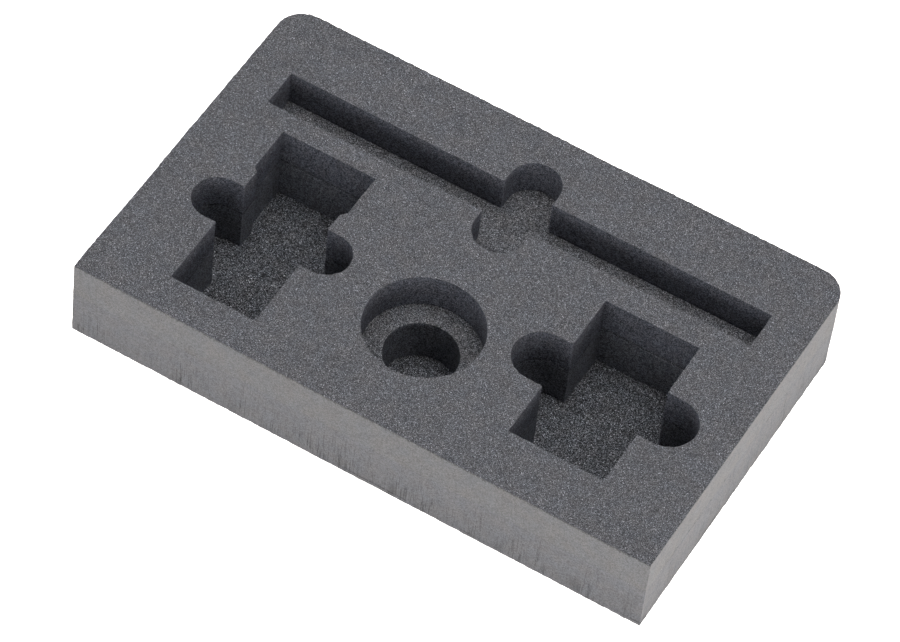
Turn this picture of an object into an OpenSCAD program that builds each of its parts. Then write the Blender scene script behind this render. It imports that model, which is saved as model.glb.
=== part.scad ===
// Tool foam insert: a laminated block of closed-cell foam sheets with nests
// for a long rod, two boxed tools and one round stepped part.
// The sheets are cut right through to shape and then glued face to face, so
// every nest is as deep as the sheets it passes through.
// Millimetres, +Z up. The origin is the centre of the underside.
// +X runs along the block to its right end and +Y towards the rounded corners.

/* [Block] */
// Length of the block along X
block_l = 300; // [290:1:340]
// Width of the block along Y
block_w = 190; // [182:1:220]
// Radius of the two rear corners, which follow the case; the front ones stay square
rear_corner_r = 14; // [4:0.5:24]

/* [Sheets] */
// Thickness of the top sheet, which is the depth of the shallow nests
top_sheet_t = 20; // [12:0.5:30]
// Thickness of the middle sheet, which the deep nests pass through as well
middle_sheet_t = 24; // [12:0.5:40]
// Thickness of the uncut base sheet that closes the deep nests
base_sheet_t = 2; // [1:0.5:8]

/* [Rod channel] */
// Length of the channel for a long rod
channel_l = 257; // [220:1:262]
// Width of the channel
channel_w = 21; // [14:0.5:24]
// Distance of the channel's middle line behind the block's centre
channel_y = 47.5; // [44:0.5:52]
// Width of the finger notch that crosses the channel
channel_notch_d = 25.5; // [20:0.5:30]
// Length of that notch from one round end to the other
channel_notch_l = 59; // [44:1:66]

/* [Stepped bore] */
// Diameter of the upper bore, through the top sheet
upper_bore_d = 57.4; // [48:0.2:66]
// Diameter of the lower bore, through the middle sheet
lower_bore_d = 35.4; // [24:0.2:42]
// Distance of the bore's axis in front of the block's centre
bore_front = 36.4; // [32:0.2:42]

/* [Left pocket] */
// Distance of the pocket's middle line left of the block's centre
left_pocket_x = 88; // [84:0.5:92]
// Distance of the pocket's front wall in front of the block's centre
left_pocket_front = 76; // [70:0.5:80]
// Length of the pocket from its front wall to its rear wall
left_pocket_l = 101.6; // [94:0.2:104]
// Width of the pocket's rear part
left_pocket_rear_w = 50; // [47:0.5:54]
// Width of the pocket's narrower front part
left_pocket_front_w = 45; // [40:0.5:46]
// Length of the narrower front part, up to the chamfers
left_pocket_front_l = 74.2; // [68:0.2:82]
// Width of the round-ended finger notch across the pocket
left_notch_d = 25; // [20:0.5:28]
// Reach of the finger notch from one round end to the other
left_notch_l = 83; // [74:0.5:88]
// Distance of the finger notch in front of the block's centre
left_notch_front = 25; // [20:0.5:32]

/* [Right pocket] */
// Distance of the pocket's middle line right of the block's centre
right_pocket_x = 85.5; // [82:0.5:88]
// Distance of the pocket's front wall in front of the block's centre
right_pocket_front = 65.8; // [60:0.2:72]
// Length of the pocket from its front wall to its rear wall
right_pocket_l = 88.8; // [80:0.2:92]
// Width of the pocket
right_pocket_w = 49; // [44:0.5:54]
// Width of the round-ended finger notch across the pocket
right_notch_d = 28.5; // [22:0.5:32]
// Reach of the finger notch from one round end to the other
right_notch_l = 93.8; // [84:0.2:98]
// Distance of the finger notch in front of the block's centre
right_notch_front = 21.4; // [17:0.2:28]

/* [Hidden] */

// Levels of the glued faces above the underside
base_top = base_sheet_t;
middle_top = base_top + middle_sheet_t;

// How far a cutter runs past each face of the sheet that it cuts
cut_past = 1;

// Facets of a full circle; arcs and bores are exact from these
arc_fn = 96;

top_color = [0.33, 0.34, 0.36];
middle_color = [0.27, 0.28, 0.30];
base_color = [0.22, 0.23, 0.25];

// A rectangle centred on the Y axis that starts at the line y = front
module centred_bay(width, front, length) {
    translate([-width / 2, front]) square([width, length]);
}

// A slot with round ends, centred on the origin: reach along X, d across
module round_slot(reach, d) {
    square([reach - d, d], center = true);
    for (side = [-1, 1])
        translate([side * (reach - d) / 2, 0]) circle(d = d, $fn = arc_fn);
}

// Outline of every sheet: square front corners and rounded rear ones
module block_outline() {
    r = rear_corner_r;
    difference() {
        square([block_l, block_w], center = true);
        for (side = [-1, 1])
            translate([side * (block_l / 2 - r), block_w / 2 - r])
                difference() {
                    translate([side * r, r]) square(2 * r, center = true);
                    circle(r = r, $fn = arc_fn);
                }
    }
}

// Channel for a long rod, with the finger notch that crosses it
module rod_channel_outline() {
    translate([0, channel_y]) {
        square([channel_l, channel_w], center = true);
        rotate(90) round_slot(channel_notch_l, channel_notch_d);
    }
}

// Wide rear bay that narrows through 45 degree chamfers to the front bay
module left_pocket_outline() {
    chamfer = (left_pocket_rear_w - left_pocket_front_w) / 2;
    neck = left_pocket_front_l - left_pocket_front;
    rear = left_pocket_l - left_pocket_front;
    translate([-left_pocket_x, 0]) {
        polygon([
            [-left_pocket_front_w / 2, -left_pocket_front],
            [left_pocket_front_w / 2, -left_pocket_front],
            [left_pocket_front_w / 2, neck],
            [left_pocket_rear_w / 2, neck + chamfer],
            [left_pocket_rear_w / 2, rear],
            [-left_pocket_rear_w / 2, rear],
            [-left_pocket_rear_w / 2, neck + chamfer],
            [-left_pocket_front_w / 2, neck],
        ]);
        translate([0, -left_notch_front]) round_slot(left_notch_l, left_notch_d);
    }
}

// Plain pocket with a finger notch on both sides
module right_pocket_outline() {
    translate([right_pocket_x, 0]) {
        centred_bay(right_pocket_w, -right_pocket_front, right_pocket_l);
        translate([0, -right_notch_front]) round_slot(right_notch_l, right_notch_d);
    }
}

// Both deep pockets, which pass through the top and the middle sheet alike
module deep_pocket_outlines() {
    left_pocket_outline();
    right_pocket_outline();
}

// A plain sheet of the block from the level z upwards
module sheet(z, thickness) {
    translate([0, 0, z]) linear_extrude(thickness) block_outline();
}

// Runs the 2D outlines given as children right through a sheet
module cut_through(z, thickness) {
    translate([0, 0, z - cut_past]) linear_extrude(thickness + 2 * cut_past) children();
}

// A round hole right through a sheet, on the bore's axis
module bore_through(z, thickness, d) {
    translate([0, -bore_front, z - cut_past])
        cylinder(d = d, h = thickness + 2 * cut_past, $fn = arc_fn);
}

module top_sheet() {
    color(top_color) difference() {
        sheet(middle_top, top_sheet_t);
        cut_through(middle_top, top_sheet_t) {
            rod_channel_outline();
            deep_pocket_outlines();
        }
        bore_through(middle_top, top_sheet_t, upper_bore_d);
    }
}

module middle_sheet() {
    color(middle_color) difference() {
        sheet(base_top, middle_sheet_t);
        cut_through(base_top, middle_sheet_t) deep_pocket_outlines();
        bore_through(base_top, middle_sheet_t, lower_bore_d);
    }
}

module base_sheet() {
    color(base_color) sheet(0, base_sheet_t);
}

top_sheet();
middle_sheet();
base_sheet();
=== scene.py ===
"""Dressed model of a tool foam insert.

Three sheets of closed-cell foam are cut right through to shape and glued face
to face. The nests hold a long rod, two boxed tools and a round stepped part.
Lengths are in metres. +X runs to the right end, +Y to the rounded corners, and
the origin is the centre of the underside.
"""

import sys

import logging
import math
from collections.abc import Callable
from dataclasses import dataclass
from enum import Enum, IntEnum

import bmesh
import bpy
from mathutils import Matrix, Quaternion, Vector


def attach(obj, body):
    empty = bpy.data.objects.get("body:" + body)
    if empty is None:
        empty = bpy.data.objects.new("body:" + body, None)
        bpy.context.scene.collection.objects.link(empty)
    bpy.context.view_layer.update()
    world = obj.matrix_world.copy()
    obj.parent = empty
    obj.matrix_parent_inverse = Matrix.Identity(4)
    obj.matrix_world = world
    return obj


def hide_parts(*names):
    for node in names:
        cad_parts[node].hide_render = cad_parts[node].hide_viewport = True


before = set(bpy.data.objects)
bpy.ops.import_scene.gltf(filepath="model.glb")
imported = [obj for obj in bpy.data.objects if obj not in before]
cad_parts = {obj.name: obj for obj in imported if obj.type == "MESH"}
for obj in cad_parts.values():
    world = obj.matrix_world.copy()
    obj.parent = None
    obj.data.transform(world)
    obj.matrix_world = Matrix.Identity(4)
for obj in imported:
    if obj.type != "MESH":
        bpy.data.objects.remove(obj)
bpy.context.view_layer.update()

LOG = logging.getLogger("tool_foam_insert")

Colour = tuple[float, float, float]
Point2 = tuple[float, float]
Point3 = tuple[float, float, float]

# Facets of a full circle in cutters
ARC_FACETS = 192
# How far a cutter runs past each face of the sheet
CUT_PAST = 0.001
# Points nearer than this count as lying on a plane
ON_PLANE = 0.00002
# Width of the block's rim in which an upright face is an outer side
RIM = 0.008
# Least angle at which an upright edge of a nest counts as an arris
ARRIS_ANGLE = math.radians(30)
# Least height of an upright edge, as a share of the mesh's cell
ARRIS_RISE = 0.25
# Least part of a box face's normal along the way that the face looks
FACING = 0.9
# How a pattern is scaled so that it is drawn out upright, 20 times as high as wide
DRAWN_OUT = (1, 1, 0.05)
# Numbers of the Mix node's two vector inputs and of its vector result
MIX_VECTOR_A = 4
MIX_VECTOR_B = 5
MIX_VECTOR_RESULT = 1
# How far a corner point moves when both of its faces move by 1
MITRE = math.sqrt(2)
# How far from a glued plane the points of its outer edge may have strayed
STRAYED = 0.0005
# Least upright part of the normal of a face that counts as flat, before and after the reliefs
FLAT_BEFORE = 0.5
FLAT_AFTER = 0.6
# Least upright part of the normal of a face that still lies in its glued plane
LEVEL = 0.999
# Share of the triangles that is kept on the glued faces
KEPT_SHARE = 0.03
# Greatest angle between two faces that are shaded as one
SMOOTH_ANGLE = math.radians(50)
# Depth of the octree for the even mesh, deep enough for the finest cell
OCTREE_DEPTH = 9


class Surface(IntEnum):
    """What a face of a foam sheet is; the value is its material slot."""

    FLAT_FACE = 0
    NEST_WALL = 1
    OUTER_SIDE = 2


class Along(Enum):
    """The direction in which a round-ended notch runs."""

    LENGTH = (1.0, 0.0, 0.0)
    WIDTH = (0.0, 1.0, 0.0)


# ---------------------------------------------------------------- bench tools


def pick_only(piece: bpy.types.Object) -> None:
    """Selects one object and nothing else, and makes it the active one.

    Args:
        piece: the object to pick.
    """
    bpy.ops.object.select_all(action="DESELECT")
    piece.select_set(True)
    bpy.context.view_layer.objects.active = piece


def settle(piece: bpy.types.Object) -> None:
    """Moves the object's place, turn and scale into its mesh.

    Args:
        piece: the object to settle at the origin.
    """
    pick_only(piece)
    bpy.ops.object.transform_apply(location=True, rotation=True, scale=True)


def mark(piece: bpy.types.Object, kind: str, wanted: Callable) -> None:
    """Selects the parts of a mesh that pass a test; the mesh is in edit mode.

    Args:
        piece: the object in edit mode.
        kind: "verts", "edges" or "faces".
        wanted: the test, given one bmesh element.
    """
    bpy.ops.mesh.select_mode(type={"verts": "VERT", "edges": "EDGE", "faces": "FACE"}[kind])
    bpy.ops.mesh.select_all(action="DESELECT")
    shell = bmesh.from_edit_mesh(piece.data)
    for item in getattr(shell, kind):
        if wanted(item):
            item.select_set(True)
    shell.select_flush_mode()
    bmesh.update_edit_mesh(piece.data)


def box_between(low: Vector, high: Vector) -> bpy.types.Object:
    """Adds a box by its lowest and highest corners.

    Args:
        low: the lowest corner.
        high: the highest corner.

    Returns:
        The box, settled at the origin.
    """
    bpy.ops.mesh.primitive_cube_add(size=1, location=(low + high) / 2, scale=high - low)
    box = bpy.context.active_object
    settle(box)
    return box


def runs_up(edge: bmesh.types.BMEdge) -> bool:
    """Tells whether a box's edge on its rear or front side runs straight up."""
    run = edge.verts[0].co - edge.verts[1].co
    return abs(run.x) < ON_PLANE < abs(run.z)


def finish_modifier(piece: bpy.types.Object, name: str) -> None:
    """Applies one modifier to the mesh."""
    pick_only(piece)
    bpy.ops.object.modifier_apply(modifier=name)


# --------------------------------------------------------------------- shapes


@dataclass(frozen=True)
class Bay:
    """A straight-walled bay, cut from its front wall to its rear wall."""

    middle_x: float
    front_y: float
    length: float
    width: float

    def cutter(self, low: float, high: float) -> bpy.types.Object:
        """Builds the solid that cuts this shape.

        Args:
            low: the cutter's lower end.
            high: the cutter's upper end.

        Returns:
            The cutter.
        """
        half = self.width / 2
        return box_between(
            Vector((self.middle_x - half, self.front_y, low)),
            Vector((self.middle_x + half, self.front_y + self.length, high)),
        )

    def clearance(self, x: float, y: float) -> float:
        """Tells how far a point lies inside the shape, or outside when negative.

        Args:
            x: the point's place along the block.
            y: the point's place across the block.

        Returns:
            The clearance.
        """
        sideways = self.width / 2 - abs(x - self.middle_x)
        lengthways = self.length / 2 - abs(y - self.front_y - self.length / 2)
        return min(sideways, lengthways)


@dataclass(frozen=True)
class NeckedBay(Bay):
    """A bay whose front part is narrower, joined by 45 degree chamfers."""

    front_width: float
    front_length: float

    def cutter(self, low: float, high: float) -> bpy.types.Object:
        """Builds the front part, then extrudes the chamfers and the rear part.

        Args:
            low: the cutter's lower end.
            high: the cutter's upper end.

        Returns:
            The cutter.
        """
        half = self.front_width / 2
        neck_y = self.front_y + self.front_length
        chamfer = (self.width - self.front_width) / 2
        box = box_between(
            Vector((self.middle_x - half, self.front_y, low)),
            Vector((self.middle_x + half, neck_y, high)),
        )
        bpy.ops.object.mode_set(mode="EDIT")
        mark(box, "faces", lambda face: face.normal.y > FACING)
        bpy.ops.mesh.extrude_region_move(TRANSFORM_OT_translate={"value": (0, chamfer, 0)})
        bpy.ops.transform.resize(
            value=(self.width / self.front_width, 1, 1),
            center_override=(self.middle_x, neck_y + chamfer, (low + high) / 2),
        )
        rest = self.length - self.front_length - chamfer
        bpy.ops.mesh.extrude_region_move(TRANSFORM_OT_translate={"value": (0, rest, 0)})
        bpy.ops.object.mode_set(mode="OBJECT")
        return box

    def clearance(self, x: float, y: float) -> float:
        """Tells how far a point lies inside the shape, or outside when negative.

        Args:
            x: the point's place along the block.
            y: the point's place across the block.

        Returns:
            The clearance.
        """
        inside = super().clearance(x, y)
        if y < self.front_y + self.front_length:
            inside = min(inside, self.front_width / 2 - abs(x - self.middle_x))
        return inside


@dataclass(frozen=True)
class RoundSlot:
    """A notch with round ends, as a finger or a router leaves it."""

    centre: Point2
    reach: float
    width: float
    along: Along

    def cutter(self, low: float, high: float) -> bpy.types.Object:
        """Builds a cylinder and pulls its two halves apart to the reach.

        Args:
            low: the cutter's lower end.
            high: the cutter's upper end.

        Returns:
            The cutter.
        """
        bpy.ops.mesh.primitive_cylinder_add(
            vertices=ARC_FACETS,
            radius=self.width / 2,
            depth=high - low,
            location=(*self.centre, (low + high) / 2),
            rotation=(0, 0, math.pi / ARC_FACETS),
        )
        slot = bpy.context.active_object
        settle(slot)
        way = Vector(self.along.value)
        middle = Vector((*self.centre, 0))
        shift = (self.reach - self.width) / 2
        bpy.ops.object.mode_set(mode="EDIT")
        for side in (1, -1):
            mark(slot, "verts", lambda vert: (vert.co - middle).dot(way) * side > 0)
            bpy.ops.transform.translate(value=way * shift * side)
        bpy.ops.object.mode_set(mode="OBJECT")
        return slot

    def clearance(self, x: float, y: float) -> float:
        """Tells how far a point lies inside the shape, or outside when negative.

        Args:
            x: the point's place along the block.
            y: the point's place across the block.

        Returns:
            The clearance.
        """
        offset = Vector((x - self.centre[0], y - self.centre[1], 0))
        way = Vector(self.along.value)
        run = max(0.0, abs(offset.dot(way)) - (self.reach - self.width) / 2)
        across = offset.length_squared - offset.dot(way) ** 2
        return self.width / 2 - math.sqrt(max(0.0, across) + run**2)


@dataclass(frozen=True)
class Bore:
    """A round bore, square to the sheet."""

    centre: Point2
    diameter: float

    def cutter(self, low: float, high: float) -> bpy.types.Object:
        """Builds the solid that cuts this shape.

        Args:
            low: the cutter's lower end.
            high: the cutter's upper end.

        Returns:
            The cutter.
        """
        bpy.ops.mesh.primitive_cylinder_add(
            vertices=ARC_FACETS,
            radius=self.diameter / 2,
            depth=high - low,
            location=(*self.centre, (low + high) / 2),
        )
        bore = bpy.context.active_object
        settle(bore)
        return bore

    def clearance(self, x: float, y: float) -> float:
        """Tells how far a point lies inside the shape, or outside when negative."""
        return self.diameter / 2 - math.hypot(x - self.centre[0], y - self.centre[1])


Shape = Bay | NeckedBay | RoundSlot | Bore


@dataclass(frozen=True)
class Nest:
    """One nest: the shapes that are cut together to hold one tool."""

    name: str
    shapes: tuple[Shape, ...]

    def cut(self, sheet: bpy.types.Object, low: float, high: float) -> None:
        """Cuts the nest right through a sheet.

        Args:
            sheet: the sheet to cut.
            low: the sheet's lower face.
            high: the sheet's upper face.
        """
        for shape in self.shapes:
            cutter = shape.cutter(low - CUT_PAST, high + CUT_PAST)
            cut = sheet.modifiers.new("cut", "BOOLEAN")
            cut.operation = "DIFFERENCE"
            cut.solver = "EXACT"
            cut.object = cutter
            finish_modifier(sheet, cut.name)
            bpy.data.objects.remove(cutter)

    def clearance(self, x: float, y: float) -> float:
        """Tells how far a point lies inside the nest, or outside when negative."""
        return max(shape.clearance(x, y) for shape in self.shapes)


BORE_AXIS = (0.0, -0.0364)

ROD_CHANNEL = Nest(
    "rod channel",
    (
        Bay(middle_x=0.0, front_y=0.037, length=0.021, width=0.257),
        RoundSlot(centre=(0.0, 0.0475), reach=0.059, width=0.0255, along=Along.WIDTH),
    ),
)
UPPER_BORE = Nest("upper bore", (Bore(BORE_AXIS, 0.0574),))
LOWER_BORE = Nest("lower bore", (Bore(BORE_AXIS, 0.0354),))
LEFT_POCKET = Nest(
    "left pocket",
    (
        NeckedBay(
            middle_x=-0.088,
            front_y=-0.076,
            length=0.1016,
            width=0.050,
            front_width=0.045,
            front_length=0.0742,
        ),
        RoundSlot(centre=(-0.088, -0.025), reach=0.083, width=0.025, along=Along.LENGTH),
    ),
)
RIGHT_POCKET = Nest(
    "right pocket",
    (
        Bay(middle_x=0.0855, front_y=-0.0658, length=0.0888, width=0.049),
        RoundSlot(centre=(0.0855, -0.0214), reach=0.0938, width=0.0285, along=Along.LENGTH),
    ),
)


# ------------------------------------------------------------------- finishes


class Bench:
    """Adds shader nodes to one material and joins them up."""

    def __init__(self, name: str) -> None:
        """Starts a material with a Principled shader.

        Args:
            name: the material's name.
        """
        self.material = bpy.data.materials.new(name)
        self.material.use_nodes = True
        self.tree = self.material.node_tree
        self.shader = self.tree.nodes["Principled BSDF"]

    def add(self, kind: str, inputs: dict | None = None, **settings: object) -> bpy.types.Node:
        """Adds a node.

        Args:
            kind: the node's type name.
            inputs: values or output sockets by input name or number.
            **settings: the node's own settings.

        Returns:
            The node.
        """
        node = self.tree.nodes.new(kind)
        for key, value in settings.items():
            setattr(node, key, value)
        for key, value in (inputs or {}).items():
            self.feed(node.inputs[key], value)
        return node

    def feed(self, socket: bpy.types.NodeSocket, value: object) -> None:
        """Links an output socket to an input, or sets its value.

        Args:
            socket: the input.
            value: an output socket, or a plain value.
        """
        if isinstance(value, bpy.types.NodeSocket):
            self.tree.links.new(value, socket)
        else:
            socket.default_value = value

    def maths(self, operation: str, first: object, second: object = 0.0) -> bpy.types.NodeSocket:
        """Adds a Math node and returns its result."""
        return self.add("ShaderNodeMath", {0: first, 1: second}, operation=operation).outputs[0]

    def total(self, *terms: object) -> bpy.types.NodeSocket:
        """Adds up any number of values.

        Args:
            *terms: the values, each a number or an output socket.

        Returns:
            The sum.
        """
        result = terms[0]
        for term in terms[1:]:
            result = self.maths("ADD", result, term)
        return result

    def spread(self, value: object, low: float, high: float) -> bpy.types.NodeSocket:
        """Maps 0 to 1 onto low to high."""
        node = self.add("ShaderNodeMapRange", {"Value": value, "To Min": low, "To Max": high})
        return node.outputs[0]

    def ramp(
        self, value: object, start: float, end: float, first: float, last: float
    ) -> bpy.types.NodeSocket:
        """Maps start to end onto first to last, softly at both ends.

        Args:
            value: the value to map.
            start: where the ramp starts; it may lie above its end.
            end: where the ramp ends.
            first: the result at the start.
            last: the result at the end.

        Returns:
            The mapped value.
        """
        if start > end:
            start, end, first, last = end, start, last, first
        ends = {"From Min": start, "From Max": end, "To Min": first, "To Max": last}
        node = self.add("ShaderNodeMapRange", {"Value": value, **ends}, interpolation_type="SMOOTHSTEP")
        return node.outputs[0]

    def upright_lines(self, place: bpy.types.NodeSocket, width: float) -> bpy.types.NodeSocket:
        """Adds noise that is drawn out into upright lines of a given width."""
        drawn = self.add("ShaderNodeVectorMath", {0: place, 1: DRAWN_OUT}, operation="MULTIPLY")
        return self.noise(drawn.outputs["Vector"], width, 2.0)

    def noise(self, where: object, size: float, detail: float = 2.0) -> bpy.types.NodeSocket:
        """Adds noise of a given feature size and returns its value, about 0.2 to 0.8."""
        node = self.add("ShaderNodeTexNoise", {"Vector": where, "Scale": 1 / size, "Detail": detail})
        return node.outputs["Fac"]


@dataclass(frozen=True)
class FoamFinish:
    """The look of a foam surface: its cells, its mottling, its gloss and its painted glints.

    Cells, mottling, drift, patches and relief are lengths. Contrasts and glints are
    shares of the colour's brightness; the glints are painted highlights on a few cells.
    """

    name: str
    colour: Colour
    cell: float
    contrast: float
    skew: float = 1.0
    glint_share: float = 0.0
    glint: float = 0.0
    mottle: float = 0.0018
    mottle_contrast: float = 0.08
    drift: float = 0.022
    drift_contrast: float = 0.03
    hue_drift: float = 0.02
    hue_patch: float = 0.008
    hue_stretch: Point2 = (-0.8, 1.8)
    roughness: float = 0.75
    glint_polish: float = 0.25
    specular: float = 0.3
    relief: float = 0.0001

    def material(self) -> bpy.types.Material:
        """Builds the procedural material on the object's own coordinates.

        Returns:
            The material.
        """
        bench = Bench(self.name)
        place = bench.add("ShaderNodeTexCoord").outputs["Object"]
        cells = bench.add("ShaderNodeTexVoronoi", {"Vector": place, "Scale": 1 / self.cell})
        draw = bench.add("ShaderNodeSeparateColor", {"Color": cells.outputs["Color"]})
        # Glints: a few cells get a painted highlight in the colour, and a lower roughness
        glints = bench.maths("GREATER_THAN", draw.outputs["Green"], 1 - self.glint_share)
        mottle = bench.noise(place, self.mottle)
        drift = bench.noise(place, self.drift, 1.0)
        shade = bench.total(
            self.cell_shade(bench, draw.outputs["Red"]),
            bench.maths("MULTIPLY", glints, self.glint),
            bench.spread(mottle, -2 * self.mottle_contrast, 2 * self.mottle_contrast),
            bench.spread(drift, -2 * self.drift_contrast, 2 * self.drift_contrast),
        )
        shade = self.marks(bench, place, mottle, shade)
        hue = self.hue(bench, place)
        tint = bench.add("ShaderNodeVectorMath", {0: hue, "Scale": shade}, operation="SCALE")
        bench.feed(bench.shader.inputs["Base Color"], tint.outputs["Vector"])
        rough = bench.total(self.roughness, bench.maths("MULTIPLY", glints, -self.glint_polish))
        bench.feed(bench.shader.inputs["Roughness"], rough)
        height = bench.total(bench.maths("MULTIPLY", cells.outputs["Distance"], -1.0), mottle)
        bump = bench.add("ShaderNodeBump", {"Strength": 1.0, "Distance": self.relief, "Height": height})
        bench.feed(bench.shader.inputs["Normal"], bump.outputs["Normal"])
        bench.shader.inputs["Specular IOR Level"].default_value = self.specular
        return bench.material

    def cell_shade(self, bench: Bench, draw: bpy.types.NodeSocket) -> bpy.types.NodeSocket:
        """Shades each cell by chance, with a mean of 1 and a skew towards dark pits.

        Args:
            bench: the material's bench.
            draw: the cell's even draw from 0 to 1.

        Returns:
            The cell's shade.
        """
        curve = bench.maths("POWER", draw, self.skew)
        return bench.total(
            bench.maths("MULTIPLY", curve, self.contrast * (self.skew + 1)), 1 - self.contrast
        )

    def hue(self, bench: Bench, place: bpy.types.NodeSocket) -> bpy.types.NodeSocket:
        """Lets the colour drift a little between warm and cool.

        Args:
            bench: the material's bench.
            place: the object coordinates.

        Returns:
            The colour before it is shaded.
        """
        warm = (1 + self.hue_drift, 1.0, 1 - self.hue_drift)
        cool = (1 - self.hue_drift, 1.0, 1 + self.hue_drift)
        mix = bench.add("ShaderNodeMix", data_type="VECTOR")
        patches = bench.noise(place, self.hue_patch, 1.0)
        bench.feed(mix.inputs["Factor"], bench.spread(patches, *self.hue_stretch))
        for number, gains in ((MIX_VECTOR_A, warm), (MIX_VECTOR_B, cool)):
            mix.inputs[number].default_value = [part * gain for part, gain in zip(self.colour, gains)]
        return mix.outputs[MIX_VECTOR_RESULT]

    def marks(
        self,
        bench: Bench,
        place: bpy.types.NodeSocket,
        mottle: bpy.types.NodeSocket,
        shade: bpy.types.NodeSocket,
    ) -> bpy.types.NodeSocket:
        """Leaves the shade as it is; walls and sides add their own marks here."""
        return shade


@dataclass(frozen=True)
class WallFinish(FoamFinish):
    """A nest's wall: knife lines, a painted highlight on its arrises and a patchy dark glue line."""

    line: float = 0.0008
    line_contrast: float = 0.08
    # Strength of the painted highlight on the nests' arrises
    arris_highlight: float = 0.5
    seam: float = 0.026
    seam_reach: float = 0.0010
    seam_depth: float = 0.9
    seam_patch: float = 0.020
    seam_patch_edge: Point2 = (0.38, 0.60)
    seam_faintest: float = 0.35

    def marks(
        self,
        bench: Bench,
        place: bpy.types.NodeSocket,
        mottle: bpy.types.NodeSocket,
        shade: bpy.types.NodeSocket,
    ) -> bpy.types.NodeSocket:
        """Adds upright knife lines, the painted highlight on the arrises and the dark line of the glued
        seam.

        Args:
            bench: the material's bench.
            place: the object coordinates.
            mottle: the surface's mottling.
            shade: the shade so far.

        Returns:
            The shade with the marks.
        """
        lines = bench.upright_lines(place, self.line)
        # Painted highlight on the arrises, broken up by the mottling
        arris_highlight = bench.add("ShaderNodeAttribute", attribute_name="arris_highlight").outputs["Fac"]
        highlight_patches = bench.spread(mottle, 0.0, 2 * self.arris_highlight)
        painted_arris_highlight = bench.maths("MULTIPLY", bench.maths("POWER", arris_highlight, 2.0), highlight_patches)
        shade = bench.total(
            shade,
            bench.spread(lines, 2 * self.line_contrast, -2 * self.line_contrast),
            painted_arris_highlight,
        )
        height = bench.add("ShaderNodeSeparateXYZ", {"Vector": place}).outputs["Z"]
        away = bench.maths("ABSOLUTE", bench.maths("SUBTRACT", height, self.seam))
        patches = bench.noise(place, self.seam_patch, 1.0)
        patchy = bench.ramp(patches, *self.seam_patch_edge, self.seam_faintest, 1.0)
        glue = bench.ramp(away, 0.0, self.seam_reach, self.seam_depth, 0.0)
        line = bench.maths("MULTIPLY", glue, patchy)
        return bench.maths("MULTIPLY", shade, bench.maths("SUBTRACT", 1.0, line))


@dataclass(frozen=True)
class DarkSpot:
    """A dark spot on an outer side.

    It keeps its strength out to the core, a share of its reach, and its edge is
    broken by the mottling.
    """

    middle: Point3
    reach: Point3
    strength: float
    core: float = 0.2
    broken: float = 0.5


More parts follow.
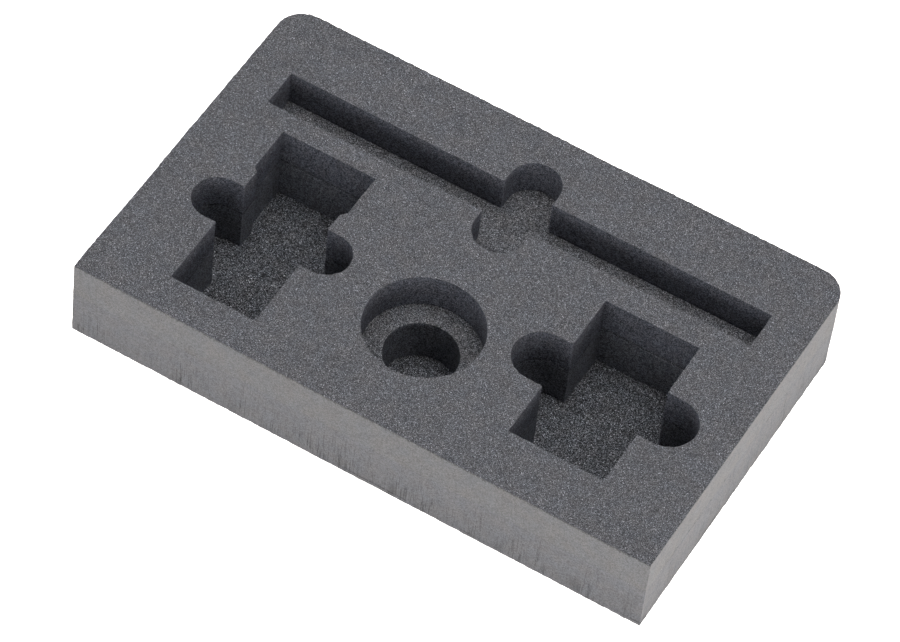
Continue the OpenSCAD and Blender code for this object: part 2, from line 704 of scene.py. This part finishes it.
@dataclass(frozen=True)
class SideFinish(FoamFinish):
    """An outer side: knife lines that deepen downwards, pinholes, torn crumbs, dark spots and, where
    set, a painted shade towards the bottom.
    """

    line: float = 0.0006
    line_contrast: float = 0.0
    line_edge: Point2 = (0.48, 0.68)
    line_group: float = 0.009
    group_edge: Point2 = (0.40, 0.62)
    group_gain: Point2 = (0.35, 1.3)
    line_gain_high: float = 0.25
    low: float = 0.0
    high: float = 0.026
    bottom_shade: float = 0.0
    torn_top: float = 1.0
    torn_reach: float = 0.0024
    torn_crumb: float = 0.0007
    torn_blend: float = 0.0006
    torn_shade: float = 0.45
    pinhole: float = 0.25
    pinhole_gap: float = 0.0013
    pinhole_edge: Point2 = (0.14, 0.24)
    dark_spots: tuple[DarkSpot, ...] = ()

    def marks(
        self,
        bench: Bench,
        place: bpy.types.NodeSocket,
        mottle: bpy.types.NodeSocket,
        shade: bpy.types.NodeSocket,
    ) -> bpy.types.NodeSocket:
        """Adds knife lines in groups, pinholes, the painted shade towards the bottom, the dark spots
        and the torn upper edge.

        Args:
            bench: the material's bench.
            place: the object coordinates.
            mottle: the surface's mottling.
            shade: the shade so far.

        Returns:
            The shade with the marks.
        """
        height = bench.add("ShaderNodeSeparateXYZ", {"Vector": place}).outputs["Z"]
        depth = bench.ramp(height, self.high, self.low, self.line_gain_high, 1.0)
        cuts = bench.upright_lines(place, self.line)
        lines = bench.ramp(cuts, *self.line_edge, 0.0, self.line_contrast)
        bands = bench.upright_lines(place, self.line_group)
        groups = bench.ramp(bands, *self.group_edge, *self.group_gain)
        lines = bench.maths("MULTIPLY", bench.maths("MULTIPLY", lines, groups), depth)
        shade = bench.maths("SUBTRACT", shade, lines)
        pores = bench.add("ShaderNodeTexVoronoi", {"Vector": place, "Scale": 1 / self.pinhole_gap})
        pore = bench.ramp(pores.outputs["Distance"], *self.pinhole_edge, self.pinhole, 0.0)
        shade = bench.maths("SUBTRACT", shade, pore)
        # Painted shade: the side darkens towards the bottom
        if self.bottom_shade:
            bottom_shading = bench.ramp(height, self.low, self.high, 1 - self.bottom_shade, 1.0)
            shade = bench.maths("MULTIPLY", shade, bottom_shading)
        for dark_spot in self.dark_spots:
            shade = bench.maths("MULTIPLY", shade, self.dark_spot_mask(bench, place, dark_spot, mottle))
        crumbs = bench.noise(place, self.torn_crumb, 1.0)
        level = bench.total(height, bench.spread(crumbs, -self.torn_reach, self.torn_reach))
        start = self.torn_top - self.torn_blend
        torn = bench.ramp(level, start, self.torn_top, 1.0, self.torn_shade)
        return bench.maths("MULTIPLY", shade, torn)

    def dark_spot_mask(
        self, bench: Bench, place: bpy.types.NodeSocket, dark_spot: DarkSpot, mottle: bpy.types.NodeSocket
    ) -> bpy.types.NodeSocket:
        """Fades one dark spot out from its middle, with a broken edge.

        Args:
            bench: the material's bench.
            place: the object coordinates.
            dark_spot: the mark.
            mottle: the noise that breaks its edge.

        Returns:
            The factor by which the shade is multiplied.
        """
        away = bench.add("ShaderNodeVectorMath", {0: place, 1: dark_spot.middle}, operation="SUBTRACT")
        scaled = bench.add(
            "ShaderNodeVectorMath", {0: away.outputs["Vector"], 1: dark_spot.reach}, operation="DIVIDE"
        )
        length = bench.add("ShaderNodeVectorMath", {0: scaled.outputs["Vector"]}, operation="LENGTH")
        edge = bench.spread(mottle, -dark_spot.broken, dark_spot.broken)
        reached = bench.total(length.outputs["Value"], edge)
        return bench.ramp(reached, dark_spot.core, 1.0, 1 - dark_spot.strength, 1.0)


# The block's front side
FRONT = -0.095

SHEET_FACE = FoamFinish(
    name="foam_sheet_face",
    colour=(0.1064, 0.1066, 0.1154),
    cell=0.00025,
    contrast=0.60,
    skew=3.0,
    glint_share=0.015,
    glint=4.3,
    drift_contrast=0.05,
    relief=0.00008,
)
# The floors' glints and cell contrast are set higher than the top's: painted highlights made strong
# enough to show through the pockets' shade
FLOOR_FACE = FoamFinish(
    name="foam_floor_face",
    colour=(0.0832, 0.0852, 0.0928),
    cell=0.00028,
    contrast=0.86,
    skew=4.5,
    glint_share=0.012,
    glint=9.0,
    mottle_contrast=0.12,
    drift_contrast=0.05,
    relief=0.00010,
)
MIDDLE_FACE = FoamFinish(
    name="foam_middle_face",
    colour=(0.1124, 0.1124, 0.1198),
    cell=0.00028,
    contrast=0.76,
    skew=3.5,
    glint_share=0.012,
    glint=5.0,
    mottle_contrast=0.10,
    relief=0.00009,
)
# The nest walls are the same cut foam as the outer sides; their darker colour is painted shade of the
# deep nests
UPPER_WALL = WallFinish(
    name="foam_upper_wall",
    colour=(0.0969, 0.1003, 0.1186),
    cell=0.00042,
    contrast=0.70,
    skew=1.6,
    mottle=0.0014,
    mottle_contrast=0.18,
    drift_contrast=0.08,
    relief=0.00006,
)
LOWER_WALL = WallFinish(
    name="foam_lower_wall",
    colour=(0.0955, 0.0992, 0.1128),
    cell=0.00042,
    contrast=0.70,
    skew=1.6,
    mottle=0.0014,
    mottle_contrast=0.18,
    drift_contrast=0.08,
    relief=0.00006,
)
# The outer sides are lighter than the sheet's face, partly for their smoother cut and partly as painted
# light, the glow they catch from the table
UPPER_SIDE = SideFinish(
    name="foam_upper_side",
    colour=(0.1285, 0.1275, 0.1313),
    cell=0.0005,
    contrast=0.24,
    mottle=0.0013,
    mottle_contrast=0.06,
    drift=0.012,
    hue_drift=0.022,
    relief=0.00004,
    line_contrast=0.06,
    low=0.026,
    high=0.046,
    torn_top=0.0456,
)
LOWER_SIDE = SideFinish(
    name="foam_lower_side",
    colour=(0.1205, 0.1205, 0.1285),
    cell=0.0005,
    contrast=0.24,
    mottle=0.0013,
    mottle_contrast=0.06,
    drift=0.012,
    hue_drift=0.022,
    relief=0.00005,
    line_contrast=0.42,
    # Painted shade towards the bottom of the lower side
    bottom_shade=0.09,
    # Dark spots near the foot of the front side
    dark_spots=(
        DarkSpot((-0.063, FRONT, 0.003), (0.004, 0.02, 0.006), 0.14),
        DarkSpot((-0.045, FRONT, 0.002), (0.003, 0.02, 0.005), 0.12),
        DarkSpot((-0.033, FRONT, 0.003), (0.004, 0.02, 0.006), 0.12),
        DarkSpot((-0.005, FRONT, 0.004), (0.004, 0.02, 0.007), 0.14),
        DarkSpot((0.021, FRONT, 0.004), (0.003, 0.02, 0.010), 0.25),
        DarkSpot((0.077, FRONT, 0.003), (0.004, 0.02, 0.006), 0.14),
        DarkSpot((0.116, FRONT, 0.005), (0.004, 0.02, 0.008), 0.25),
        DarkSpot((0.143, FRONT, 0.010), (0.006, 0.02, 0.012), 0.12),
    ),
)


# ---------------------------------------------------------------- foam sheets


@dataclass(frozen=True)
class Relief:
    """One layer of unevenness that is worked into the mesh."""

    name: str
    size: float
    depth: float
    group: str = "open"
    upright: float = 1.0
    middle: float = 0.5

    def work_in(self, sheet: bpy.types.Object) -> None:
        """Moves the mesh along its normals by a cloudy pattern.

        The depth is measured square to a face. Corner points have full weight in
        the groups and the others 1 / MITRE, so that both faces move as one.

        Args:
            sheet: the sheet to work on.
        """
        clouds = bpy.data.textures.new(self.name, "CLOUDS")
        clouds.noise_scale = self.size
        clouds.noise_depth = 1
        guide = bpy.data.objects.new(self.name, None)
        bpy.context.collection.objects.link(guide)
        guide.scale = (1, 1, self.upright)
        bpy.context.view_layer.update()
        layer = sheet.modifiers.new(self.name, "DISPLACE")
        layer.texture = clouds
        layer.texture_coords = "OBJECT"
        layer.texture_coords_object = guide
        layer.strength = self.depth * MITRE
        layer.mid_level = self.middle
        layer.vertex_group = self.group
        finish_modifier(sheet, layer.name)
        bpy.data.objects.remove(guide)
        bpy.data.textures.remove(clouds)


@dataclass(frozen=True)
class FoamSheet:
    """One sheet of the glued block."""

    node: str
    slot: str
    low: float
    high: float
    cut_nests: tuple[Nest, ...]
    floors_of: tuple[Nest, ...]
    face: FoamFinish
    wall: FoamFinish
    side: FoamFinish
    reliefs: tuple[Relief, ...]
    cell: float
    top_open: bool = False
    underside_open: bool = False
    length: float = 0.300
    width: float = 0.190
    rear_radius: float = 0.014

    def build(self) -> bpy.types.Object:
        """Cuts, meshes, roughens and dresses the sheet.

        Returns:
            The finished sheet.
        """
        sheet = self.block()
        for nest in self.cut_nests:
            nest.cut(sheet, self.low, self.high)
        self.mesh_evenly(sheet)
        self.sort_points(sheet)
        for relief in self.reliefs:
            relief.work_in(sheet)
        self.close_outer_seams(sheet)
        self.thin_glued_faces(sheet)
        self.dress(sheet)
        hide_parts(self.node)
        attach(sheet, "root")
        return sheet

    def block(self) -> bpy.types.Object:
        """Makes the blank, with square front corners and rounded rear ones.

        Returns:
            The blank.
        """
        half = Vector((self.length / 2, self.width / 2, 0))
        blank = box_between(Vector((-half.x, -half.y, self.low)), Vector((half.x, half.y, self.high)))
        blank.name = f"foam_{self.node}"
        blank.data.name = blank.name
        bpy.ops.object.mode_set(mode="EDIT")
        rear = half.y - ON_PLANE
        mark(
            blank,
            "edges",
            lambda edge: runs_up(edge) and all(vert.co.y > rear for vert in edge.verts),
        )
        bpy.ops.mesh.bevel(offset=self.rear_radius, segments=ARC_FACETS // 4, affect="EDGES")
        bpy.ops.object.mode_set(mode="OBJECT")
        return blank

    def mesh_evenly(self, sheet: bpy.types.Object) -> None:
        """Gives the sheet an even mesh that keeps its cut edges sharp.

        Args:
            sheet: the sheet, cut to shape.
        """
        remesh = sheet.modifiers.new("even mesh", "REMESH")
        remesh.mode = "SHARP"
        remesh.octree_depth = OCTREE_DEPTH
        remesh.scale = self.length / (self.cell * 2**OCTREE_DEPTH)
        remesh.use_remove_disconnected = False
        finish_modifier(sheet, remesh.name)

    def is_open(self, place: Vector) -> bool:
        """Tells whether a point of the sheet's two faces can be seen.

        Args:
            place: a point on the upper or lower face.

        Returns:
            True where no other sheet is glued over it.
        """
        if place.z < (self.low + self.high) / 2:
            return self.underside_open
        return self.top_open or any(nest.clearance(place.x, place.y) > 0 for nest in self.floors_of)

    def sort_points(self, sheet: bpy.types.Object) -> None:
        """Puts the mesh's points in groups, and marks the nests' arrises for their painted highlight.

        "open" holds every point that isn't glued over, "edge" the rims of the open
        faces, "nest seam" the rims of the glued faces inside the nests, and "outer"
        the upright faces around the block.

        Args:
            sheet: the sheet, evenly meshed.
        """
        names = ("open", "edge", "nest seam", "outer")
        corners: dict[str, list[int]] = {name: [] for name in names}
        others: dict[str, list[int]] = {name: [] for name in names}
        shell = bmesh.new()
        shell.from_mesh(sheet.data)
        shell.normal_update()
        arris_highlight = [0.0] * len(shell.verts)
        for vert in shell.verts:
            flat = [face for face in vert.link_faces if abs(face.normal.z) > FLAT_BEFORE]
            upright = len(flat) < len(vert.link_faces)
            rim = self.in_rim(vert.co)
            found = corners if upright and flat else others
            if upright or self.is_open(vert.co):
                found["open"].append(vert.index)
            if upright and rim:
                found["outer"].append(vert.index)
            if upright and flat:
                above = vert.co.z > (self.low + self.high) / 2
                glued = not (self.top_open if above else self.underside_open)
                if not glued:
                    found["edge"].append(vert.index)
                elif not rim:
                    found["nest seam"].append(vert.index)
            # Arrises are marked to carry the walls' painted highlight
            if upright and not rim and self.is_arris(vert):
                arris_highlight[vert.index] = 1.0
        shell.free()
        for name in names:
            group = sheet.vertex_groups.new(name=name)
            group.add(corners[name], 1.0, "REPLACE")
            group.add(others[name], 1 / MITRE, "REPLACE")
        layer = sheet.data.attributes.new("arris_highlight", "FLOAT", "POINT")
        layer.data.foreach_set("value", arris_highlight)

    def is_arris(self, vert: bmesh.types.BMVert) -> bool:
        """Tells whether a point lies on an upright edge that stands out.

        Args:
            vert: the point.

        Returns:
            True on an arris.
        """
        return any(
            edge.is_convex
            and abs(edge.verts[0].co.z - edge.verts[1].co.z) > self.cell * ARRIS_RISE
            and edge.calc_face_angle(0.0) > ARRIS_ANGLE
            for edge in vert.link_edges
        )

    def in_rim(self, place: Vector) -> bool:
        """Tells whether a point lies in the rim along the block's outer sides."""
        return abs(place.x) > self.length / 2 - RIM or abs(place.y) > self.width / 2 - RIM

    def close_outer_seams(self, sheet: bpy.types.Object) -> None:
        """Brings the outer edges of the glued faces back to their plane.

        Args:
            sheet: the sheet, after its reliefs.
        """
        bpy.ops.object.mode_set(mode="EDIT")
        for plane, seen in ((self.low, self.underside_open), (self.high, self.top_open)):
            if seen:
                continue
            mark(sheet, "verts", lambda vert: self.in_rim(vert.co) and abs(vert.co.z - plane) < STRAYED)
            bpy.ops.transform.resize(value=(1, 1, 0), center_override=(0, 0, plane))
        bpy.ops.object.mode_set(mode="OBJECT")

    def thin_glued_faces(self, sheet: bpy.types.Object) -> None:
        """Leaves few triangles where the sheet is glued to its neighbour.

        Args:
            sheet: the sheet, after its reliefs.
        """
        bpy.ops.object.mode_set(mode="EDIT")
        mark(
            sheet,
            "faces",
            lambda face: abs(face.normal.z) > LEVEL
            and all(
                min(abs(vert.co.z - self.low), abs(vert.co.z - self.high)) < ON_PLANE
                and not self.is_open(vert.co)
                for vert in face.verts
            ),
        )
        bpy.ops.mesh.decimate(ratio=KEPT_SHARE)
        bpy.ops.object.mode_set(mode="OBJECT")

    def dress(self, sheet: bpy.types.Object) -> None:
        """Shades the sheet and gives each kind of face its finish.

        Args:
            sheet: the sheet, in its final shape.
        """
        for finish in (self.face, self.wall, self.side):
            sheet.data.materials.append(bpy.data.materials.get(finish.name) or finish.material())
        for face in sheet.data.polygons:
            if abs(face.normal.z) > FLAT_AFTER:
                face.material_index = Surface.FLAT_FACE
            elif self.in_rim(face.center):
                face.material_index = Surface.OUTER_SIDE
            else:
                face.material_index = Surface.NEST_WALL
        pick_only(sheet)
        bpy.ops.object.shade_smooth_by_angle(angle=SMOOTH_ANGLE)


SAG = Relief("sag", size=0.045, depth=0.0005)
LUMPS = Relief("lumps", size=0.0045, depth=0.00022)
CELLS = Relief("cells", size=0.0016, depth=0.00016)
RAGGED_EDGE = Relief("ragged edge", size=0.0018, depth=0.00040, group="edge")
FOOT_EDGE = Relief("foot edge", size=0.0040, depth=0.00008, group="edge")
GLUE_GROOVE = Relief("glue groove", size=0.007, depth=0.00045, group="nest seam", middle=1.0)
KNIFE = Relief("knife lines", size=0.0026, depth=0.00024, group="outer", upright=14.0)

SHEETS = (
    FoamSheet(
        node="top_sheet",
        slot="top_foam",
        low=0.026,
        high=0.046,
        cut_nests=(ROD_CHANNEL, UPPER_BORE, LEFT_POCKET, RIGHT_POCKET),
        floors_of=(),
        face=SHEET_FACE,
        wall=UPPER_WALL,
        side=UPPER_SIDE,
        reliefs=(SAG, LUMPS, CELLS, RAGGED_EDGE, GLUE_GROOVE),
        cell=0.0010,
        top_open=True,
    ),
    FoamSheet(
        node="middle_sheet",
        slot="middle_foam",
        low=0.002,
        high=0.026,
        cut_nests=(LOWER_BORE, LEFT_POCKET, RIGHT_POCKET),
        floors_of=(ROD_CHANNEL, UPPER_BORE),
        face=MIDDLE_FACE,
        wall=LOWER_WALL,
        side=LOWER_SIDE,
        reliefs=(SAG, LUMPS, CELLS, KNIFE, GLUE_GROOVE),
        cell=0.0008,
    ),
    FoamSheet(
        node="base_sheet",
        slot="base_foam",
        low=0.0,
        high=0.002,
        cut_nests=(),
        floors_of=(LOWER_BORE, LEFT_POCKET, RIGHT_POCKET),
        face=FLOOR_FACE,
        wall=LOWER_WALL,
        side=LOWER_SIDE,
        reliefs=(LUMPS, CELLS, KNIFE, FOOT_EDGE),
        cell=0.0009,
        underside_open=True,
    ),
)


# --------------------------------------------------------------------- studio


# The lights' colours
COOL: Colour = (0.97, 0.98, 1.0)
WARM: Colour = (1.0, 0.97, 0.93)


@dataclass(frozen=True)
class Softbox:
    """A soft rectangular light of a given brightness, which faces one way."""

    name: str
    place: Point3
    facing: Point3
    size: Point2
    brightness: float
    colour: Colour

    def build(self) -> bpy.types.Object:
        """Hangs the light and turns it the way it faces.

        Returns:
            The light.
        """
        lamp = bpy.data.lights.new(self.name, "AREA")
        lamp.shape = "RECTANGLE"
        lamp.size, lamp.size_y = self.size
        lamp.energy = self.brightness * math.pi * self.size[0] * self.size[1]
        lamp.color = self.colour
        light = bpy.data.objects.new(self.name, lamp)
        bpy.context.collection.objects.link(light)
        light.location = self.place
        light.rotation_euler = Vector(self.facing).to_track_quat("-Z", "Y").to_euler()
        light.visible_camera = False
        return light


@dataclass(frozen=True)
class Studio:
    """The table, the softboxes, the dim air and the camera.

    The softbox "right_table" lies on the table and shines upwards.
    """

    floor_side: float = 40.0
    floor_gap: float = 0.0003
    floor_colour: Colour = (0.30, 0.30, 0.30)
    glow: float = 1.81
    glow_colour: Colour = (1.0, 0.975, 0.95)
    air_strength: float = 0.03
    camera_place: Point3 = (0.6175, -1.3425, 1.8872)
    camera_aim: Point3 = (0.00026, -0.01047, 0.023)
    camera_roll: float = math.radians(7.144)
    lens: float = 207.5
    sensor: float = 36.0
    clip: Point2 = (0.05, 100.0)
    softboxes: tuple[Softbox, ...] = (
        Softbox("overhead", (0.35, 0.1, 1.6), (0, 0, -1), (2.4, 1.0), 3.32, COOL),
        Softbox("front_panel", (0.0, -1.6, 0.446), (0, 1, 0), (1.4, 0.668), 3.5, COOL),
        Softbox("high_front_panel", (0.0, -1.6, 1.19), (0, 1, 0), (1.4, 0.82), 1.16, COOL),
        Softbox("back_left_panel", (-1.23, 1.03, 0.79), (0.766, -0.643, 0), (2.4, 1.3), 1.93, COOL),
        Softbox("right_panel", (1.6, 0.0, 0.207), (-1, 0, 0), (3.2, 0.386), 3.6, WARM),
        Softbox("right_table", (0.952, 0.1, 0.0004), (0, 0, 1), (1.6, 2.4), 0.48, WARM),
    )

    def build(self) -> None:
        """Sets up the table, the lights and the camera."""
        self.lay_floor()
        self.light()
        self.place_camera()

    def lay_floor(self) -> None:
        """Lays a plain table whose glow shows it white."""
        bpy.ops.mesh.primitive_plane_add(size=self.floor_side, location=(0, 0, -self.floor_gap))
        floor = bpy.context.active_object
        floor.name = "studio_floor"
        settle(floor)
        white = bpy.data.materials.new("studio_white")
        white.use_nodes = True
        shader = white.node_tree.nodes["Principled BSDF"]
        shader.inputs["Base Color"].default_value = (*self.floor_colour, 1.0)
        shader.inputs["Roughness"].default_value = 1.0
        shader.inputs["Emission Color"].default_value = (*self.glow_colour, 1.0)
        shader.inputs["Emission Strength"].default_value = self.glow
        floor.data.materials.append(white)

    def light(self) -> None:
        """Hangs the softboxes, and sets air that is dim but looks white to the camera."""
        for softbox in self.softboxes:
            softbox.build()
        world = bpy.data.worlds.new("studio_air")
        world.use_nodes = True
        air = world.node_tree.nodes["Background"]
        seen = world.node_tree.nodes.new("ShaderNodeLightPath").outputs["Is Camera Ray"]
        brightness = world.node_tree.nodes.new("ShaderNodeMath")
        brightness.operation = "MAXIMUM"
        brightness.inputs[1].default_value = self.air_strength
        world.node_tree.links.new(seen, brightness.inputs[0])
        world.node_tree.links.new(brightness.outputs[0], air.inputs["Strength"])
        air.inputs["Color"].default_value = (1.0, 1.0, 1.0, 1.0)
        bpy.context.scene.world = world
        bpy.context.scene.view_settings.view_transform = "Standard"

    def place_camera(self) -> None:
        """Places the camera above the front right corner, with a slight roll."""
        lens = bpy.data.cameras.new("studio_camera")
        lens.sensor_width = self.sensor
        lens.lens = self.lens
        lens.clip_start, lens.clip_end = self.clip
        camera = bpy.data.objects.new("studio_camera", lens)
        bpy.context.collection.objects.link(camera)
        way = Vector(self.camera_aim) - Vector(self.camera_place)
        roll = Quaternion((0, 0, 1), self.camera_roll)
        camera.rotation_mode = "QUATERNION"
        camera.location = self.camera_place
        camera.rotation_quaternion = way.to_track_quat("-Z", "Y") @ roll
        bpy.context.scene.camera = camera


def main() -> None:
    """Builds the sheets and the studio, and reports each piece."""
    logging.basicConfig(level=logging.INFO, format="%(name)s: %(message)s", stream=sys.stdout)
    for design in SHEETS:
        sheet = design.build()
        triangles = sum(len(face.vertices) - 2 for face in sheet.data.polygons)
        LOG.info("%s: %d triangles, top at %.1f mm", sheet.name, triangles, design.high * 1000)
    Studio().build()
    LOG.info("studio: floor, lights and camera in place")


if __name__ == "__main__":
    main()
